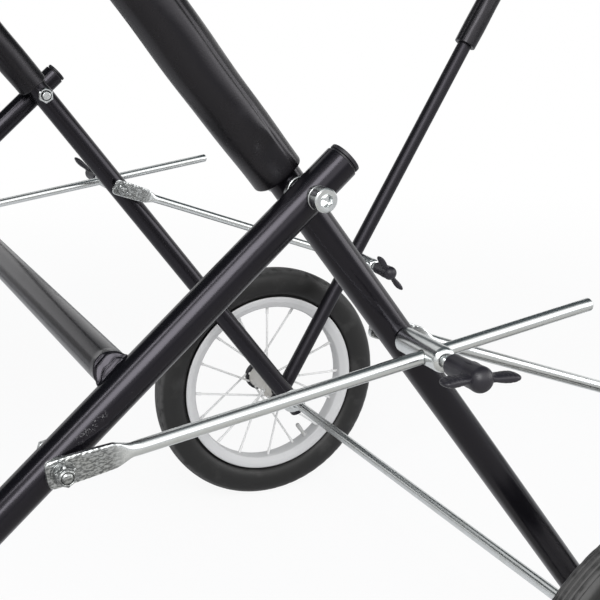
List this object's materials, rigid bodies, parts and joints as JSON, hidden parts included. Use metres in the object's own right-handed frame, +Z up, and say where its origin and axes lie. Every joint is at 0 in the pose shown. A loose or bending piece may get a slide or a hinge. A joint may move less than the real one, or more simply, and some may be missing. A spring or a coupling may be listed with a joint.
{
  "type": "bass drum trolley",
  "caption": "Folding two-wheeled trolley that cradles a bass drum between padded tube frames, with sliding clamped braces.",
  "frame": {"origin": "on the floor, under the middle of the bounding box", "axes": "+X from the legs to the padded arms, +Y across the trolley along the axle, +Z up"},
  "size_m": [1.4894, 0.936, 0.9065],
  "materials": {
    "black_coat": "semi-gloss black powder coat",
    "foam": "matte closed-cell foam",
    "black_plastic": "moulded plastic",
    "zinc": "bright zinc plate",
    "tyre": "matte rubber",
    "rubber": "matte rubber",
    "rim": "pale grey",
    "hub": "pale grey"
  },
  "bodies": {
    "main_frame": {"main_tube_near": "black_coat", "main_tube_far": "black_coat", "main_crossbar": "black_coat", "main_foam_near": "foam", "main_foam_far": "foam", "main_crossbar_foam": "foam", "main_cap_near": "black_plastic", "main_cap_far": "black_plastic", "pivot_screw_near": "zinc", "pivot_screw_far": "zinc", "pivot_spacer_near": "zinc", "pivot_spacer_far": "zinc", "pivot_nut_near": "zinc", "pivot_nut_far": "zinc", "axle": "zinc", "axle_collar_near": "zinc", "axle_collar_far": "zinc", "arm_washer_near": "zinc", "arm_washer_far": "zinc", "axle_nut_near": "zinc", "axle_nut_far": "zinc"},
    "leg_frame": {"leg_tube_near": "black_coat", "leg_tube_far": "black_coat", "leg_crossbar": "black_coat", "leg_cap_near": "black_plastic", "leg_cap_far": "black_plastic", "leg_foot_near": "rubber", "leg_foot_far": "rubber", "pivot_saddle_near": "zinc", "pivot_saddle_far": "zinc", "leg_brace_bolt_near": "zinc", "leg_brace_bolt_far": "zinc"},
    "arm_frame": {"arm_tube_near": "black_coat", "arm_tube_far": "black_coat", "arm_crossbar": "black_coat", "arm_foam_near": "foam", "arm_foam_far": "foam", "arm_crossbar_foam": "foam", "arm_cap_near": "black_plastic", "arm_cap_far": "black_plastic"},
    "leg_brace_post_near": {"leg_brace_post_near": "zinc"},
    "leg_brace_rod_near": {"leg_brace_rod_near": "zinc"},
    "leg_brace_wing_screw_near": {"leg_brace_wing_screw_near": "black_plastic"},
    "arm_brace_post_near": {"arm_brace_post_near": "zinc"},
    "arm_brace_rod_near": {"arm_brace_rod_near": "zinc"},
    "arm_brace_wing_screw_near": {"arm_brace_wing_screw_near": "black_plastic"},
    "wheel_near": {"wheel_hub_near": "hub", "wheel_rim_near": "rim", "wheel_tyre_near": "tyre"},
    "leg_brace_post_far": {"leg_brace_post_far": "zinc"},
    "leg_brace_rod_far": {"leg_brace_rod_far": "zinc"},
    "leg_brace_wing_screw_far": {"leg_brace_wing_screw_far": "black_plastic"},
    "arm_brace_post_far": {"arm_brace_post_far": "zinc"},
    "arm_brace_rod_far": {"arm_brace_rod_far": "zinc"},
    "arm_brace_wing_screw_far": {"arm_brace_wing_screw_far": "black_plastic"},
    "wheel_far": {"wheel_hub_far": "hub", "wheel_rim_far": "rim", "wheel_tyre_far": "tyre"}
  },
  "joints": [
    {"name": "leg_fold", "type": "hinge", "parent": "main_frame", "child": "leg_frame", "pos_m": [-0.03119, 0, 0.60934], "axis": [0, -1, 0], "range_deg": [-12, 75]},
    {"name": "arm_fold", "type": "hinge", "parent": "main_frame", "child": "arm_frame", "pos_m": [0.29435, 0, 0.171], "axis": [0, -1, 0], "range_deg": [-3, 58]},
    {"name": "leg_brace_swivel_near", "type": "hinge", "parent": "main_frame", "child": "leg_brace_post_near", "pos_m": [0.05586, -0.3885, 0.49213], "axis": [0, -1, 0], "range_deg": [-15.13, 91.91]},
    {"name": "leg_brace_slide_near", "type": "slide", "parent": "leg_brace_post_near", "child": "leg_brace_rod_near", "axis": [0.9904, 0, 0.1379], "range_m": [-0.02848, 0.17272]},
    {"name": "leg_brace_clamp_near", "type": "hinge", "parent": "leg_brace_post_near", "child": "leg_brace_wing_screw_near", "pos_m": [0.05586, -0.3885, 0.49213], "axis": [0, -1, 0], "range_deg": [0, 360]},
    {"name": "arm_brace_swivel_near", "type": "hinge", "parent": "arm_frame", "child": "arm_brace_post_near", "pos_m": [0.4078, -0.3195, 0.35833], "axis": [0, -1, 0], "range_deg": [-79.64, 4.59]},
    {"name": "arm_brace_slide_near", "type": "slide", "parent": "arm_brace_post_near", "child": "arm_brace_rod_near", "axis": [0.9347, 0, -0.3554], "range_m": [-0.01075, 0.18959]},
    {"name": "arm_brace_clamp_near", "type": "hinge", "parent": "arm_brace_post_near", "child": "arm_brace_wing_screw_near", "pos_m": [0.4078, -0.3195, 0.35833], "axis": [0, 1, 0], "range_deg": [0, 360]},
    {"name": "wheel_spin_near", "type": "hinge", "parent": "main_frame", "child": "wheel_near", "pos_m": [0.29435, -0.4157, 0.171], "axis": [0, 1, 0], "continuous": true},
    {"name": "leg_brace_swivel_far", "type": "hinge", "parent": "main_frame", "child": "leg_brace_post_far", "pos_m": [0.05586, 0.3885, 0.49213], "axis": [0, -1, 0], "range_deg": [-15.13, 91.91]},
    {"name": "leg_brace_slide_far", "type": "slide", "parent": "leg_brace_post_far", "child": "leg_brace_rod_far", "axis": [0.9904, 0, 0.1379], "range_m": [-0.02848, 0.17272]},
    {"name": "leg_brace_clamp_far", "type": "hinge", "parent": "leg_brace_post_far", "child": "leg_brace_wing_screw_far", "pos_m": [0.05586, 0.3885, 0.49213], "axis": [0, 1, 0], "range_deg": [0, 360]},
    {"name": "arm_brace_swivel_far", "type": "hinge", "parent": "arm_frame", "child": "arm_brace_post_far", "pos_m": [0.4078, 0.3195, 0.35833], "axis": [0, -1, 0], "range_deg": [-79.64, 4.59]},
    {"name": "arm_brace_slide_far", "type": "slide", "parent": "arm_brace_post_far", "child": "arm_brace_rod_far", "axis": [0.9347, 0, -0.3554], "range_m": [-0.01075, 0.18959]},
    {"name": "arm_brace_clamp_far", "type": "hinge", "parent": "arm_brace_post_far", "child": "arm_brace_wing_screw_far", "pos_m": [0.4078, 0.3195, 0.35833], "axis": [0, -1, 0], "range_deg": [0, 360]},
    {"name": "wheel_spin_far", "type": "hinge", "parent": "main_frame", "child": "wheel_far", "pos_m": [0.29435, 0.4157, 0.171], "axis": [0, 1, 0], "continuous": true}
  ],
  "couplings": [
    {"joint": "leg_brace_swivel_near", "follows": "leg_fold", "ratio": 1.2188},
    {"joint": "leg_brace_slide_near", "follows": "leg_fold", "m_per_rad": 0.13118},
    {"joint": "arm_brace_swivel_near", "follows": "arm_fold", "ratio": -1.3645},
    {"joint": "arm_brace_slide_near", "follows": "arm_fold", "m_per_rad": 0.18629},
    {"joint": "leg_brace_swivel_far", "follows": "leg_fold", "ratio": 1.2188},
    {"joint": "leg_brace_slide_far", "follows": "leg_fold", "m_per_rad": 0.13118},
    {"joint": "arm_brace_swivel_far", "follows": "arm_fold", "ratio": -1.3645},
    {"joint": "arm_brace_slide_far", "follows": "arm_fold", "m_per_rad": 0.18629}
  ]
}
